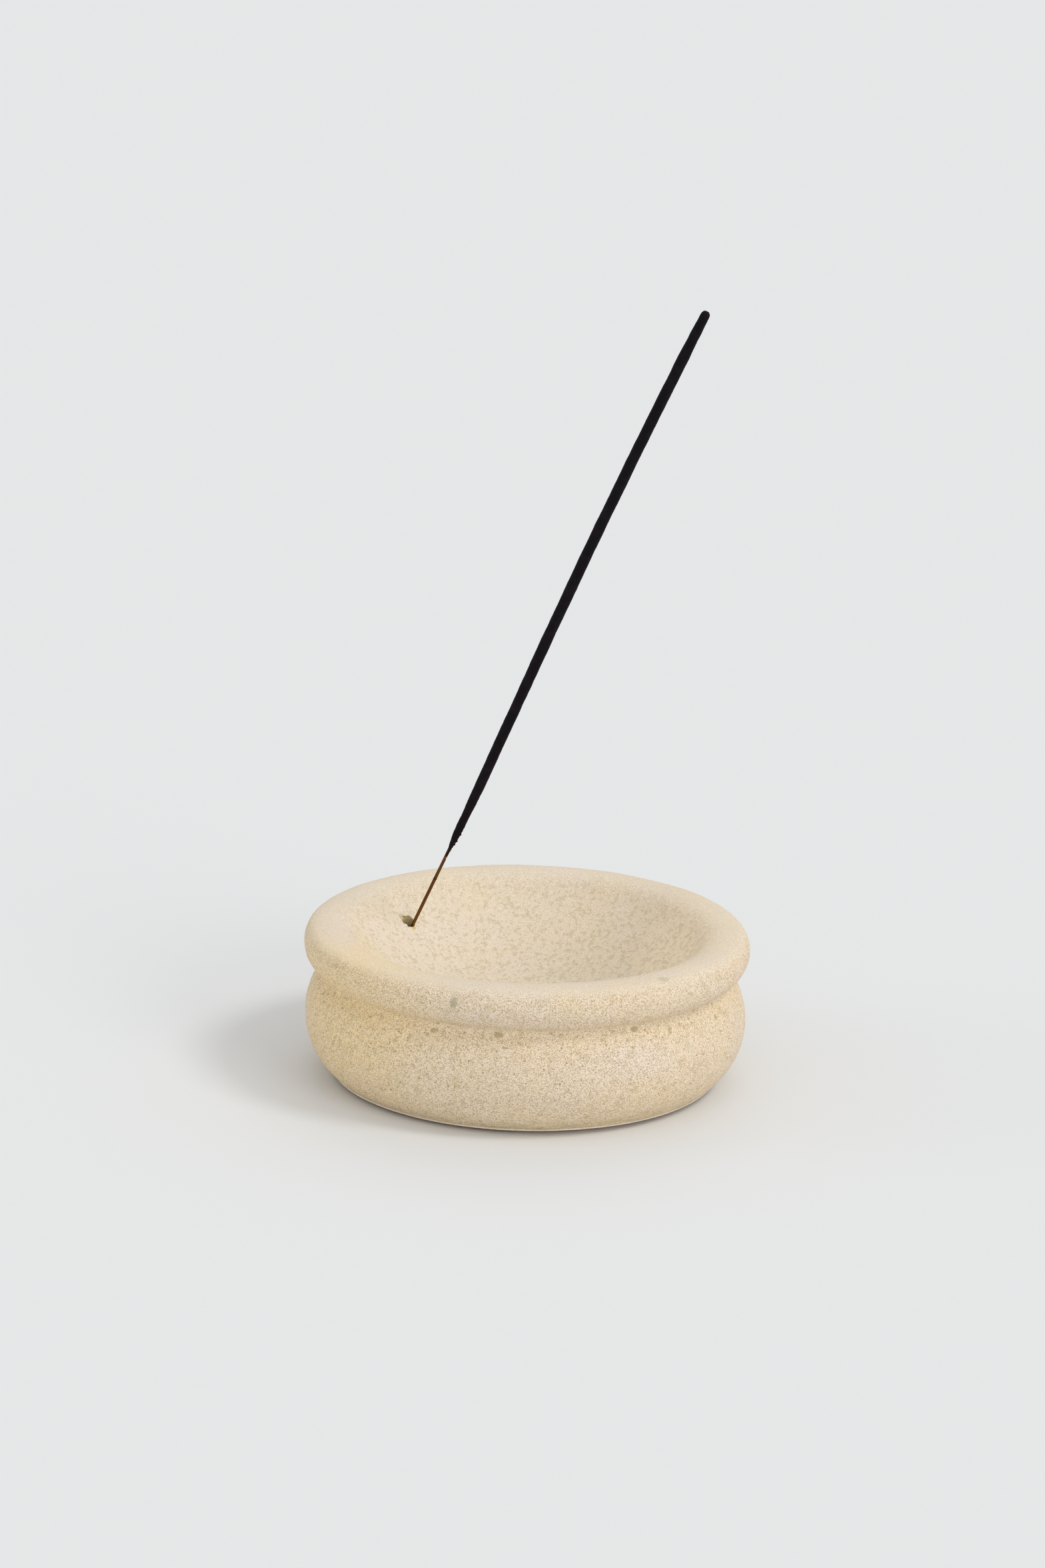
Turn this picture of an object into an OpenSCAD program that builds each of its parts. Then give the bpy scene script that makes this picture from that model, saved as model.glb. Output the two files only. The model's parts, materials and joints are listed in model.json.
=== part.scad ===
// Stick incense burner: a solid round dish of two stacked rolls with a bowl hollowed
// in its top. A small hole drilled in the bowl's wall holds one stick, which leans
// across the bowl so that its ash falls inside.
// +Z is up. The origin is the centre of the flat underside, on the table.

/* [Dish] */
// Outside diameter, across the upper roll
dish_d = 120; // [114:1:128]
// How far the lower roll's widest point sits inside the upper roll's
lower_inset = 0.5; // [0:0.1:1.5]
// Height of the lower roll's widest point
lower_z = 16.6; // [16:0.1:17.2]
// Radius of the lower roll's section
lower_r = 19.1; // [18.5:0.1:20]
// Height of the upper roll's widest point
upper_z = 36.2; // [35.5:0.1:38]
// Radius of the upper roll's outer side
upper_r = 6.9; // [6.4:0.1:7.4]
// Radius that softens the waist between the two rolls
waist_r = 1.4; // [0.6:0.1:2.5]
// Height of the narrow band round the base's edge
base_band_h = 0.7; // [0.3:0.1:1.2]

/* [Rim] */
// Radius of the shoulder, where the upper roll turns in to its top
shoulder_r = 3.3; // [2.5:0.1:4.5]
// Radius of the gently crowned top
crown_r = 13.4; // [10:0.1:18]
// Radius of the lip, where the top turns down into the bowl
lip_r = 8; // [4:0.1:10]

/* [Bowl] */
// Radius of the ball that the bowl is a cap of
bowl_r = 60; // [58:0.5:64]

/* [Stick hole] */
// Diameter of the hole
hole_d = 3.4; // [3.2:0.1:4]
// Depth that the stick stands in the hole
hole_depth = 22; // [18:0.5:23]
// Lean of the hole from upright, towards the middle of the bowl
hole_lean = 22.2; // [22:0.1:24]
// Distance of the stick from the dish's axis, where it leaves the bowl's wall
mouth_r = 41; // [40:0.1:42]
// Direction of the hole seen from above, from +X towards +Y
hole_turn = 140; // [0:1:359]

/* [Incense stick] */
// Length of the whole stick
stick_len = 228; // [180:1:260]
// Lean of the stick from upright
stick_lean = 27.6; // [26:0.1:28]
// Diameter of the bamboo core
core_d = 1; // [0.8:0.1:1.2]
// Length of the core that is left bare at the foot
bare_len = 46; // [40:0.5:60]
// Diameter of the paste
paste_d = 2.9; // [2.2:0.1:3.2]

/* [Hidden] */
$fn = 64;

// Directions on the rim's section, in degrees from straight out, where one arc hands over to the next
shoulder_from = 30;
crown_from = 76;
lip_from = 99;
// The largest turn, in degrees, between neighbouring points of an arc
arc_step = 4;
// The band round the base's edge leans in by this much over its height
base_band_lean = 0.5;
// Gap between the stick's foot and the bottom of the hole
foot_gap = 0.2;
// The drill's run above the bowl's wall, so that the cut leaves the dish cleanly
drill_run = 12;
// The core stops this far short of the paste's tip
core_stop = 6;

// Each section point is [distance from the axis, height]
function point_on(centre, r, a) = [centre[0] + r * cos(a), centre[1] + r * sin(a)];

// Points of an arc from one direction to another, after its first point, which the outline already has
function arc(centre, r, from, to) =
    let (count = max(3, ceil(abs(to - from) / arc_step)))
    [for (i = [1 : count]) point_on(centre, r, from + (to - from) * i / count)];

// Centre of the next arc, which carries on smoothly from the last one at direction a
function next_centre(centre, r, next_r, a) = point_on(centre, r - next_r, a);

// Direction from one point to another
function direction(from, to) = atan2(to[1] - from[1], to[0] - from[0]);

// Where a circle about a and a circle about b cross, on the side away from the axis
function crossing(a, ra, b, rb) =
    let (
        gap = norm(b - a),
        along = (ra * ra - rb * rb + gap * gap) / (2 * gap),
        across = sqrt(ra * ra - along * along),
        u = (b - a) / gap
    )
    a + along * u + across * [u[1], -u[0]];

lower_centre = [dish_d / 2 - lower_inset - lower_r, lower_z];
upper_centre = [dish_d / 2 - upper_r, upper_z];
waist_centre = crossing(lower_centre, lower_r + waist_r, upper_centre, upper_r + waist_r);
shoulder_centre = next_centre(upper_centre, upper_r, shoulder_r, shoulder_from);
crown_centre = next_centre(shoulder_centre, shoulder_r, crown_r, crown_from);
lip_centre = next_centre(crown_centre, crown_r, lip_r, lip_from);

// The bowl's ball sits on the axis and just touches the lip
bowl_z = lip_centre[1] + sqrt(pow(bowl_r + lip_r, 2) - pow(lip_centre[0], 2));
bowl_centre = [0, bowl_z];
bowl_edge = direction(bowl_centre, lip_centre);
mouth_z = bowl_z - sqrt(bowl_r * bowl_r - mouth_r * mouth_r);

// Underside, base band, lower roll, waist, upper roll, rim and bowl, in that order
lower_from = asin((base_band_h - lower_z) / lower_r);
lower_to = direction(lower_centre, waist_centre);
upper_from = direction(upper_centre, waist_centre);
band_top = point_on(lower_centre, lower_r, lower_from);
dish_section = concat(
    [[0, 0], [band_top[0] - base_band_lean, 0], band_top],
    arc(lower_centre, lower_r, lower_from, lower_to),
    arc(waist_centre, waist_r, 180 + lower_to, 180 + upper_from),
    arc(upper_centre, upper_r, upper_from, shoulder_from),
    arc(shoulder_centre, shoulder_r, shoulder_from, crown_from),
    arc(crown_centre, crown_r, crown_from, lip_from),
    arc(lip_centre, lip_r, lip_from, 180 + bowl_edge),
    arc(bowl_centre, bowl_r, bowl_edge, -90)
);

// Moves its children to the stick's axis: z = 0 is the foot and +Z runs to the tip
module on_stick() {
    rotate([0, 0, hole_turn])
        translate([mouth_r, 0, mouth_z])
            rotate([0, -stick_lean, 0])
                translate([0, 0, -hole_depth])
                    children();
}

// The stick is thinner than its hole, so it leans on the mouth's inner edge: the two axes cross half way down
module stick_hole() {
    on_stick()
        translate([0, 0, hole_depth / 2])
            rotate([0, stick_lean - hole_lean, 0])
                translate([0, 0, -hole_depth / 2 - foot_gap])
                    cylinder(d = hole_d, h = hole_depth + foot_gap + drill_run);
}

module dish() {
    color([0.90, 0.83, 0.72])
        difference() {
            rotate_extrude() polygon(dish_section);
            stick_hole();
        }
}

module bamboo_core() {
    color([0.33, 0.20, 0.10])
        on_stick() cylinder(d = core_d, h = stick_len - core_stop);
}

// The paste starts thin on the core, thickens over its first stretch and ends in a blunt dome
module incense_paste() {
    r = paste_d / 2;
    color([0.10, 0.09, 0.10])
        on_stick()
            rotate_extrude()
                polygon([
                    [core_d / 2, bare_len],
                    [r * 0.52, bare_len],
                    [r * 0.76, bare_len + 12],
                    [r * 0.94, bare_len + 28],
                    [r, bare_len + 60],
                    [r, stick_len - 14],
                    [r * 0.86, stick_len - 3],
                    [r * 0.68, stick_len - 1],
                    [r * 0.40, stick_len],
                    [0, stick_len],
                    [0, stick_len - core_stop],
                    [core_d / 2, stick_len - core_stop]
                ]);
}

dish();
bamboo_core();
incense_paste();
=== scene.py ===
# %% [markdown]
# # A stone dish that burns one stick of incense
# The object is a heavy round dish, cast or turned in a pale sandy stone, with a stick of black
# charcoal incense leaning across its bowl. It has three pieces: the dish, the bamboo core of the
# stick, and the paste that is rolled on the core. The working model already fixes every size and
# the way the stick lifts out. This script makes the pieces that are looked at, in the same place.

import json
import math
import random

import bmesh
import bpy
from mathutils import Matrix, Vector, noise


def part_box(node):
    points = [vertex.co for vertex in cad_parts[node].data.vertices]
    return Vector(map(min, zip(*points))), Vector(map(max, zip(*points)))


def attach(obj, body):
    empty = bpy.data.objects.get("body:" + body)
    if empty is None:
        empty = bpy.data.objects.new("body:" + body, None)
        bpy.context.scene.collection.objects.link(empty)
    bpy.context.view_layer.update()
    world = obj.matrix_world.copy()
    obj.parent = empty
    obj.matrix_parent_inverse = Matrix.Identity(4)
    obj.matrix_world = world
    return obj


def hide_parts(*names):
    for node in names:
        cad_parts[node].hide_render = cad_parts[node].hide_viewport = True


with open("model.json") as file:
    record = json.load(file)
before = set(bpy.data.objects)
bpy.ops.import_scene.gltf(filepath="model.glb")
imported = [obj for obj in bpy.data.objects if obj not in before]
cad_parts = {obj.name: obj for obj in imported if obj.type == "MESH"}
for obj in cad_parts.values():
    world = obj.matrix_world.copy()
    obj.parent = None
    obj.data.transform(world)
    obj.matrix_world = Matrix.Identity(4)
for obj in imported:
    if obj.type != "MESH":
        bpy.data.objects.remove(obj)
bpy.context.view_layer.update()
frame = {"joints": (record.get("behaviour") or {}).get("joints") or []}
MM = 0.001

# %% [markdown]
# ## Where the stick stands
# The stick is a straight line from its foot, deep in the hole, to its tip. Its direction is the
# direction in which it lifts out, and its foot follows from the box round the bamboo core. Taking
# both from the working model keeps the looks and the motion together.

# %% Find the stick's line
CORE_RADIUS = 0.5 * MM
IN_HOLE = 22 * MM

lift = next(joint for joint in frame["joints"] if joint["name"] == "stick_lift")
stick_axis = Vector(lift["axis"]).normalized()
core_low, core_high = (Vector(corner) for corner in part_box("bamboo_core"))
end_overhang = CORE_RADIUS * math.sqrt(1 - stick_axis.z ** 2)
core_length = (core_high.z - core_low.z - 2 * end_overhang) / stick_axis.z
foot = (core_low + core_high) / 2 - stick_axis * core_length / 2
mouth = foot + stick_axis * IN_HOLE
outward = Vector((foot.x, foot.y, 0)).normalized()
print("core length", round(core_length / MM, 1), "mm, foot", [round(v / MM, 1) for v in foot])
print("stick leaves the bowl at", [round(v / MM, 1) for v in mouth])

# %% [markdown]
# ## The dish's section
# A potter or a mason checks such a dish against a template: a flat outline of half its section.
# Here the template is a run of arcs that hand over smoothly to each other: the fat lower roll, the
# waist, the slimmer upper roll, the crown of the rim, the lip, and the ball-shaped bowl.

# %% Draw the template
dish_low, dish_high = (Vector(corner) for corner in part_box("dish"))
DISH_RADIUS = (dish_high.x - dish_low.x) / 2

LOWER_RADIUS, LOWER_HEIGHT, LOWER_INSET = 19.1 * MM, 16.6 * MM, 0.5 * MM
UPPER_RADIUS, UPPER_HEIGHT = 6.9 * MM, 36.2 * MM
WAIST_RADIUS = 1.4 * MM
SHOULDER_RADIUS, SHOULDER_FROM = 3.3 * MM, 30
CROWN_RADIUS, CROWN_FROM = 13.4 * MM, 76
LIP_RADIUS, LIP_FROM = 8 * MM, 99
BOWL_RADIUS = 60 * MM
EDGE_HEIGHT, EASED_UP, EASED_IN = 1.45 * MM, 1.0 * MM, 7 * MM


def on_circle(centre, radius, degrees):
    turn = math.radians(degrees)
    return Vector((centre[0] + radius * math.cos(turn), centre[1] + radius * math.sin(turn)))


def arc(centre, radius, start, end, spacing):
    """Points along an arc after its first one, about spacing apart."""
    steps = max(4, round(abs(math.radians(end - start)) * radius / spacing))
    return [on_circle(centre, radius, start + (end - start) * i / steps) for i in range(1, steps + 1)]


def next_centre(centre, radius, next_radius, degrees):
    """The centre of an arc that carries on smoothly from the last one."""
    return on_circle(centre, radius - next_radius, degrees)


def direction(start, end):
    return math.degrees(math.atan2(end[1] - start[1], end[0] - start[0]))


def outer_crossing(a, radius_a, b, radius_b):
    """Where two circles cross, on the side away from the dish's axis."""
    gap = (b - a).length
    along = (radius_a ** 2 - radius_b ** 2 + gap ** 2) / (2 * gap)
    across = math.sqrt(radius_a ** 2 - along ** 2)
    unit = (b - a) / gap
    return a + unit * along + Vector((unit.y, -unit.x)) * across


lower = Vector((DISH_RADIUS - LOWER_INSET - LOWER_RADIUS, LOWER_HEIGHT))
upper = Vector((DISH_RADIUS - UPPER_RADIUS, UPPER_HEIGHT))
waist = outer_crossing(lower, LOWER_RADIUS + WAIST_RADIUS, upper, UPPER_RADIUS + WAIST_RADIUS)
shoulder = next_centre(upper, UPPER_RADIUS, SHOULDER_RADIUS, SHOULDER_FROM)
crown = next_centre(shoulder, SHOULDER_RADIUS, CROWN_RADIUS, CROWN_FROM)
lip = next_centre(crown, CROWN_RADIUS, LIP_RADIUS, LIP_FROM)
bowl = Vector((0, lip.y + math.sqrt((BOWL_RADIUS + LIP_RADIUS) ** 2 - lip.x ** 2)))
bowl_edge = direction(bowl, lip)

lower_from = math.degrees(math.asin((EDGE_HEIGHT - LOWER_HEIGHT) / LOWER_RADIUS))
edge = on_circle(lower, LOWER_RADIUS, lower_from)
foot_radius = edge.x - EASED_IN
FINE, COARSE = 0.8 * MM, 1.1 * MM
CORNER_IN, CORNER_LEAN, CORNER_UP = 0.3 * MM, 0.04 * MM, 0.1 * MM
lower_to, upper_from = direction(lower, waist), direction(upper, waist)

# The flat underside, the eased edge, and then the arcs from the bottom up and over into the bowl
dish_template = [Vector((0, 0)), Vector((foot_radius * 0.5, 0)), Vector((foot_radius, 0))]
dish_template += [
    Vector((foot_radius + EASED_UP, EASED_UP)),
    Vector((edge.x - CORNER_IN, EASED_UP)),
    Vector((edge.x - CORNER_LEAN, EASED_UP + CORNER_UP)),
    edge,
]
dish_template += arc(lower, LOWER_RADIUS, lower_from, lower_to, COARSE)
dish_template += arc(waist, WAIST_RADIUS, 180 + lower_to, 180 + upper_from, FINE)
dish_template += arc(upper, UPPER_RADIUS, upper_from, SHOULDER_FROM, FINE)
dish_template += arc(shoulder, SHOULDER_RADIUS, SHOULDER_FROM, CROWN_FROM, FINE)
dish_template += arc(crown, CROWN_RADIUS, CROWN_FROM, LIP_FROM, FINE)
dish_template += arc(lip, LIP_RADIUS, LIP_FROM, 180 + bowl_edge, FINE)
dish_template += arc(bowl, BOWL_RADIUS, bowl_edge, -90, COARSE)
dish_template[-1].x = 0
print(len(dish_template), "points; bowl floor at", round(dish_template[-1].y / MM, 1), "mm")

# %% [markdown]
# ## A lathe made of nodes
# All three pieces are round about one line, so one Geometry Nodes tree can turn them all. It lays
# a grid, gives each row of the grid one point of the template, and swings the row round the axis.
# No hand-made thing is perfectly round, so the tree then presses the skin in a little with two
# sizes of noise, can bend the piece to one side, and puts it in its place. Spinning a mesh by hand
# would do the turning once; the tree keeps every size open to change.

# %% Helpers that place nodes
def add(tree, kind, inputs=None, **settings):
    """Adds a node. An input is given by its name or number, as a value or as another node's output."""
    node = tree.nodes.new(kind)
    for name, value in settings.items():
        setattr(node, name, value)
    for key, value in (inputs or {}).items():
        if isinstance(value, bpy.types.NodeSocket):
            tree.links.new(value, node.inputs[key])
        else:
            node.inputs[key].default_value = value
    return node


def maths(tree, operation, *values):
    return add(tree, "ShaderNodeMath", dict(enumerate(values)), operation=operation).outputs[0]


def vector_maths(tree, operation, *values):
    output = 1 if operation in ("LENGTH", "DISTANCE", "DOT_PRODUCT") else 0
    node = add(tree, "ShaderNodeVectorMath", operation=operation)
    for place, value in enumerate(values):
        socket = node.inputs["Scale"] if operation == "SCALE" and place == 1 else node.inputs[place]
        if isinstance(value, bpy.types.NodeSocket):
            tree.links.new(value, socket)
        else:
            socket.default_value = value
    return node.outputs[output]


def ramp(tree, value, start, end, low=0.0, high=1.0):
    """A smooth step from low to high as value goes from start to end."""
    inputs = {"Value": value, "From Min": start, "From Max": end, "To Min": low, "To Max": high}
    return add(tree, "ShaderNodeMapRange", inputs, interpolation_type="SMOOTHSTEP").outputs[0]


# %% Build the lathe
lathe = bpy.data.node_groups.new("Lathe", "GeometryNodeTree")
lathe.is_modifier = True
lathe.interface.new_socket("Template", in_out="INPUT", socket_type="NodeSocketGeometry")
LATHE_SIZES = (
    ("Steps Around", "NodeSocketInt", 64),
    ("Dent Depth", "NodeSocketFloat", 0.0),
    ("Dent Size", "NodeSocketFloat", 0.01),
    ("Dent Stretch", "NodeSocketFloat", 1.0),
    ("Grain Depth", "NodeSocketFloat", 0.0),
    ("Grain Size", "NodeSocketFloat", 0.001),
    ("Seed", "NodeSocketFloat", 0.0),
    ("Untouched Below", "NodeSocketFloat", -1.0),
    ("Bend", "NodeSocketVector", (0.0, 0.0, 0.0)),
    ("Bend Start", "NodeSocketFloat", 0.0),
    ("Bend Span", "NodeSocketFloat", 1.0),
    ("Place", "NodeSocketVector", (0.0, 0.0, 0.0)),
    ("Turn", "NodeSocketRotation", (0.0, 0.0, 0.0)),
    ("Finish", "NodeSocketMaterial", None),
)
for socket_name, socket_type, default in LATHE_SIZES:
    socket = lathe.interface.new_socket(socket_name, in_out="INPUT", socket_type=socket_type)
    if default is not None:
        socket.default_value = default
lathe.interface.new_socket("Piece", in_out="OUTPUT", socket_type="NodeSocketGeometry")
asked = lathe.nodes.new("NodeGroupInput").outputs

rows = add(lathe, "GeometryNodeAttributeDomainSize", {0: asked["Template"]}).outputs["Point Count"]
around = maths(lathe, "ADD", asked["Steps Around"], 1)
grid_inputs = {"Size X": 1.0, "Size Y": 1.0, "Vertices X": rows, "Vertices Y": around}
grid = add(lathe, "GeometryNodeMeshGrid", grid_inputs).outputs["Mesh"]
spot = add(lathe, "ShaderNodeSeparateXYZ", {0: add(lathe, "GeometryNodeInputPosition").outputs[0]})
row_share = maths(lathe, "ADD", spot.outputs["X"], 0.5)
row = maths(lathe, "ROUND", maths(lathe, "MULTIPLY", row_share, maths(lathe, "SUBTRACT", rows, 1)))
angle = maths(lathe, "MULTIPLY", maths(lathe, "ADD", spot.outputs["Y"], 0.5), 2 * math.pi)
template_point = add(lathe, "GeometryNodeSampleIndex", data_type="FLOAT_VECTOR", domain="POINT")
lathe.links.new(asked["Template"], template_point.inputs["Geometry"])
lathe.links.new(add(lathe, "GeometryNodeInputPosition").outputs[0], template_point.inputs["Value"])
lathe.links.new(row, template_point.inputs["Index"])
section = add(lathe, "ShaderNodeSeparateXYZ", {0: template_point.outputs["Value"]})
turned_place = add(lathe, "ShaderNodeCombineXYZ", {
    "X": maths(lathe, "MULTIPLY", section.outputs["X"], maths(lathe, "COSINE", angle)),
    "Y": maths(lathe, "MULTIPLY", section.outputs["X"], maths(lathe, "SINE", angle)),
    "Z": section.outputs["Z"],
}).outputs[0]
turned = add(lathe, "GeometryNodeSetPosition", {"Geometry": grid, "Position": turned_place}).outputs[0]
WELD = 0.002 * MM
welded = add(lathe, "GeometryNodeMergeByDistance", {"Geometry": turned, "Distance": WELD}).outputs[0]
skin = add(lathe, "GeometryNodeFlipFaces", {"Mesh": welded}).outputs[0]

# %% Press the skin in, bend it and place it
here = add(lathe, "GeometryNodeInputPosition").outputs[0]
height = add(lathe, "ShaderNodeSeparateXYZ", {0: here}).outputs["Z"]
squeeze = maths(lathe, "DIVIDE", 1.0, asked["Dent Stretch"])
lengthways = add(lathe, "ShaderNodeCombineXYZ", {"X": 1.0, "Y": 1.0, "Z": squeeze}).outputs[0]
stretched = vector_maths(lathe, "MULTIPLY", here, lengthways)
SHALLOW, DEEP = 0.3, 0.7


def pressed_by(size, detail, depth):
    """How far one size of noise presses the skin in."""
    cloud = add(lathe, "ShaderNodeTexNoise", {
        "Vector": stretched, "W": asked["Seed"], "Detail": detail,
        "Scale": maths(lathe, "DIVIDE", 1.0, size)}, noise_dimensions="4D").outputs[0]
    return maths(lathe, "MULTIPLY", ramp(lathe, cloud, SHALLOW, DEEP), depth)


dents = pressed_by(asked["Dent Size"], 1.0, asked["Dent Depth"])
grains = pressed_by(asked["Grain Size"], 2.0, asked["Grain Depth"])
pressed = maths(lathe, "ADD", dents, grains)
SOFT_START = 1 * MM
touched = ramp(lathe, maths(lathe, "SUBTRACT", height, asked["Untouched Below"]), 0.0, SOFT_START)
inward = maths(lathe, "MULTIPLY", maths(lathe, "MULTIPLY", pressed, touched), -1.0)
push = vector_maths(lathe, "SCALE", add(lathe, "GeometryNodeInputNormal").outputs[0], inward)
dented = add(lathe, "GeometryNodeSetPosition", {"Geometry": skin, "Offset": push}).outputs[0]

bench_point = add(lathe, "GeometryNodeInputPosition").outputs[0]
marked = add(lathe, "GeometryNodeStoreNamedAttribute", data_type="FLOAT_VECTOR", domain="POINT")
lathe.links.new(dented, marked.inputs["Geometry"])
lathe.links.new(bench_point, marked.inputs["Value"])
marked.inputs["Name"].default_value = "bench"

BEND_SHARPNESS = 1.3
share = maths(lathe, "DIVIDE", maths(lathe, "SUBTRACT", height, asked["Bend Start"]), asked["Bend Span"])
share = add(lathe, "ShaderNodeClamp", {"Value": share}).outputs[0]
swell = maths(lathe, "MAXIMUM", maths(lathe, "SINE", maths(lathe, "MULTIPLY", share, math.pi)), 0.0)
sideways = vector_maths(lathe, "SCALE", asked["Bend"], maths(lathe, "POWER", swell, BEND_SHARPNESS))
bent = add(lathe, "GeometryNodeSetPosition", {"Geometry": marked.outputs[0], "Offset": sideways}).outputs[0]
placed = add(lathe, "GeometryNodeTransform", {"Geometry": bent, "Translation": asked["Place"]})
lathe.links.new(asked["Turn"], placed.inputs["Rotation"])
smooth = add(lathe, "GeometryNodeSetShadeSmooth", {"Geometry": placed.outputs[0]}).outputs[0]
real = add(lathe, "GeometryNodeRealizeInstances", {"Geometry": smooth}).outputs[0]
finished = add(lathe, "GeometryNodeSetMaterial", {"Geometry": real, "Material": asked["Finish"]}).outputs[0]
add(lathe, "NodeGroupOutput", {"Piece": finished})
print("the lathe has", len(lathe.nodes), "nodes")


# %% A function that turns a template into a plain mesh
def collect(obj):
    bpy.context.scene.collection.objects.link(obj)
    return obj


def plain_mesh(obj, name):
    """A new object that holds what obj's modifiers make, in one finish, with its faces outwards."""
    bpy.context.view_layer.update()
    evaluated = obj.evaluated_get(bpy.context.evaluated_depsgraph_get())
    made = bpy.data.meshes.new_from_object(evaluated)
    bpy.data.objects.remove(obj)
    finish = next(material for material in made.materials if material)
    made.materials.clear()
    made.materials.append(finish)
    made.polygons.foreach_set("material_index", [0] * len(made.polygons))
    shape = bmesh.new()
    shape.from_mesh(made)
    bmesh.ops.recalc_face_normals(shape, faces=shape.faces)
    shape.to_mesh(made)
    shape.free()
    made.name = name
    return collect(bpy.data.objects.new(name, made))


def turn_piece(name, template, finish, **sizes):
    points = bpy.data.meshes.new(name + "_template")
    edges = [(i, i + 1) for i in range(len(template) - 1)]
    points.from_pydata([(p[0], 0, p[1]) for p in template], edges, [])
    blank = collect(bpy.data.objects.new(name + "_blank", points))
    modifier = blank.modifiers.new("Lathe", "NODES")
    modifier.node_group = lathe
    wanted = {key.replace("_", " ").title(): value for key, value in sizes.items()}
    wanted["Finish"] = finish
    for socket in lathe.interface.items_tree:
        if socket.in_out == "INPUT" and socket.name in wanted:
            modifier[socket.identifier] = wanted[socket.name]
    piece = plain_mesh(blank, name)
    print(name, "has", len(piece.data.polygons), "faces")
    return piece


# %% [markdown]
# ## Shared finishes: patches, pits and spots
# Stone, charcoal and bamboo look different, but they share three effects: soft cloudy patches of
# another tone, tiny pits or dark grains, and single marks at a known place. Each could be drawn
# anew in every finish. A node group is built once, gives a mask from 0 to 1, and takes its own
# sizes wherever it is used.

# %% Soft patches
def new_group(name, inputs, outputs):
    group = bpy.data.node_groups.new(name, "ShaderNodeTree")
    for socket_name, socket_type, default in inputs:
        socket = group.interface.new_socket(
            socket_name, in_out="INPUT", socket_type="NodeSocket" + socket_type)
        if default is not None:
            socket.default_value = default
    for socket_name in outputs:
        group.interface.new_socket(socket_name, in_out="OUTPUT", socket_type="NodeSocketFloat")
    return group, group.nodes.new("NodeGroupInput").outputs


patches, asked = new_group("Soft patches", (
    ("Vector", "Vector", None), ("Size", "Float", 0.01), ("Level", "Float", 0.5),
    ("Softness", "Float", 0.1), ("Detail", "Float", 2.0), ("Seed", "Float", 0.0)), ["Mask"])
cloud = add(patches, "ShaderNodeTexNoise", {
    "Vector": asked["Vector"], "W": asked["Seed"], "Detail": asked["Detail"],
    "Scale": maths(patches, "DIVIDE", 1.0, asked["Size"])}, noise_dimensions="4D").outputs[0]
patch_from = maths(patches, "SUBTRACT", asked["Level"], asked["Softness"])
patch_to = maths(patches, "ADD", asked["Level"], asked["Softness"])
add(patches, "NodeGroupOutput", {"Mask": ramp(patches, cloud, patch_from, patch_to)})

# %% Pits
pits, asked = new_group("Pits", (
    ("Vector", "Vector", None), ("Spacing", "Float", 0.001), ("Radius", "Float", 0.3),
    ("Raggedness", "Float", 0.5), ("Seed", "Float", 0.0)), ["Mask"])
per_metre = maths(pits, "DIVIDE", 1.0, asked["Spacing"])
shifted = vector_maths(pits, "ADD", asked["Vector"], asked["Seed"])
WANDER_SCALE, PIT_CORE = 1.6, 0.45
wander_scale = maths(pits, "MULTIPLY", per_metre, WANDER_SCALE)
wander = add(pits, "ShaderNodeTexNoise", {
    "Vector": shifted, "Scale": wander_scale, "Detail": 1.0}).outputs["Color"]
centred = vector_maths(pits, "SUBTRACT", wander, (0.5, 0.5, 0.5))
drift = vector_maths(pits, "SCALE", centred, maths(pits, "MULTIPLY", asked["Raggedness"], asked["Spacing"]))
cells = add(pits, "ShaderNodeTexVoronoi", {
    "Vector": vector_maths(pits, "ADD", shifted, drift), "Scale": per_metre})
pit_edge = maths(pits, "MULTIPLY", asked["Radius"], PIT_CORE)
add(pits, "NodeGroupOutput", {"Mask": ramp(pits, cells.outputs["Distance"], asked["Radius"], pit_edge)})

# %% Single marks
mark, asked = new_group("Single mark", (
    ("Vector", "Vector", None), ("Centre", "Vector", None), ("Reach", "Vector", None),
    ("Raggedness", "Float", 0.4), ("Softness", "Float", 0.3)), ["Mask"])
offset = vector_maths(mark, "SUBTRACT", asked["Vector"], asked["Centre"])
from_centre = vector_maths(mark, "DIVIDE", offset, asked["Reach"])
distance = vector_maths(mark, "LENGTH", from_centre)
MARK_GRAIN = 1400
edge_noise = add(mark, "ShaderNodeTexNoise", {"Vector": asked["Vector"], "Scale": MARK_GRAIN}).outputs[0]
edge_shift = maths(mark, "MULTIPLY", maths(mark, "SUBTRACT", edge_noise, 0.5), asked["Raggedness"])
inner_edge = maths(mark, "SUBTRACT", 1.0, asked["Softness"])
mark_mask = ramp(mark, maths(mark, "ADD", distance, edge_shift), 1.0, inner_edge)
add(mark, "NodeGroupOutput", {"Mask": mark_mask})
print("three shared effects:", patches.name, "/", pits.name, "/", mark.name)


# %% Helpers for materials
def new_material(name):
    material = bpy.data.materials.new(name)
    material.use_nodes = True
    tree = material.node_tree
    return material, tree, tree.nodes["Principled BSDF"]


def mask_from(tree, group, vector, **values):
    """The mask of one of the shared effects, with its sizes given by name."""
    node = add(tree, "ShaderNodeGroup", node_tree=group)
    tree.links.new(vector, node.inputs["Vector"])
    for name, value in values.items():
        socket = node.inputs[name.replace("_", " ").title()]
        if isinstance(value, bpy.types.NodeSocket):
            tree.links.new(value, socket)
        else:
            socket.default_value = value
    return node.outputs["Mask"]


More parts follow.
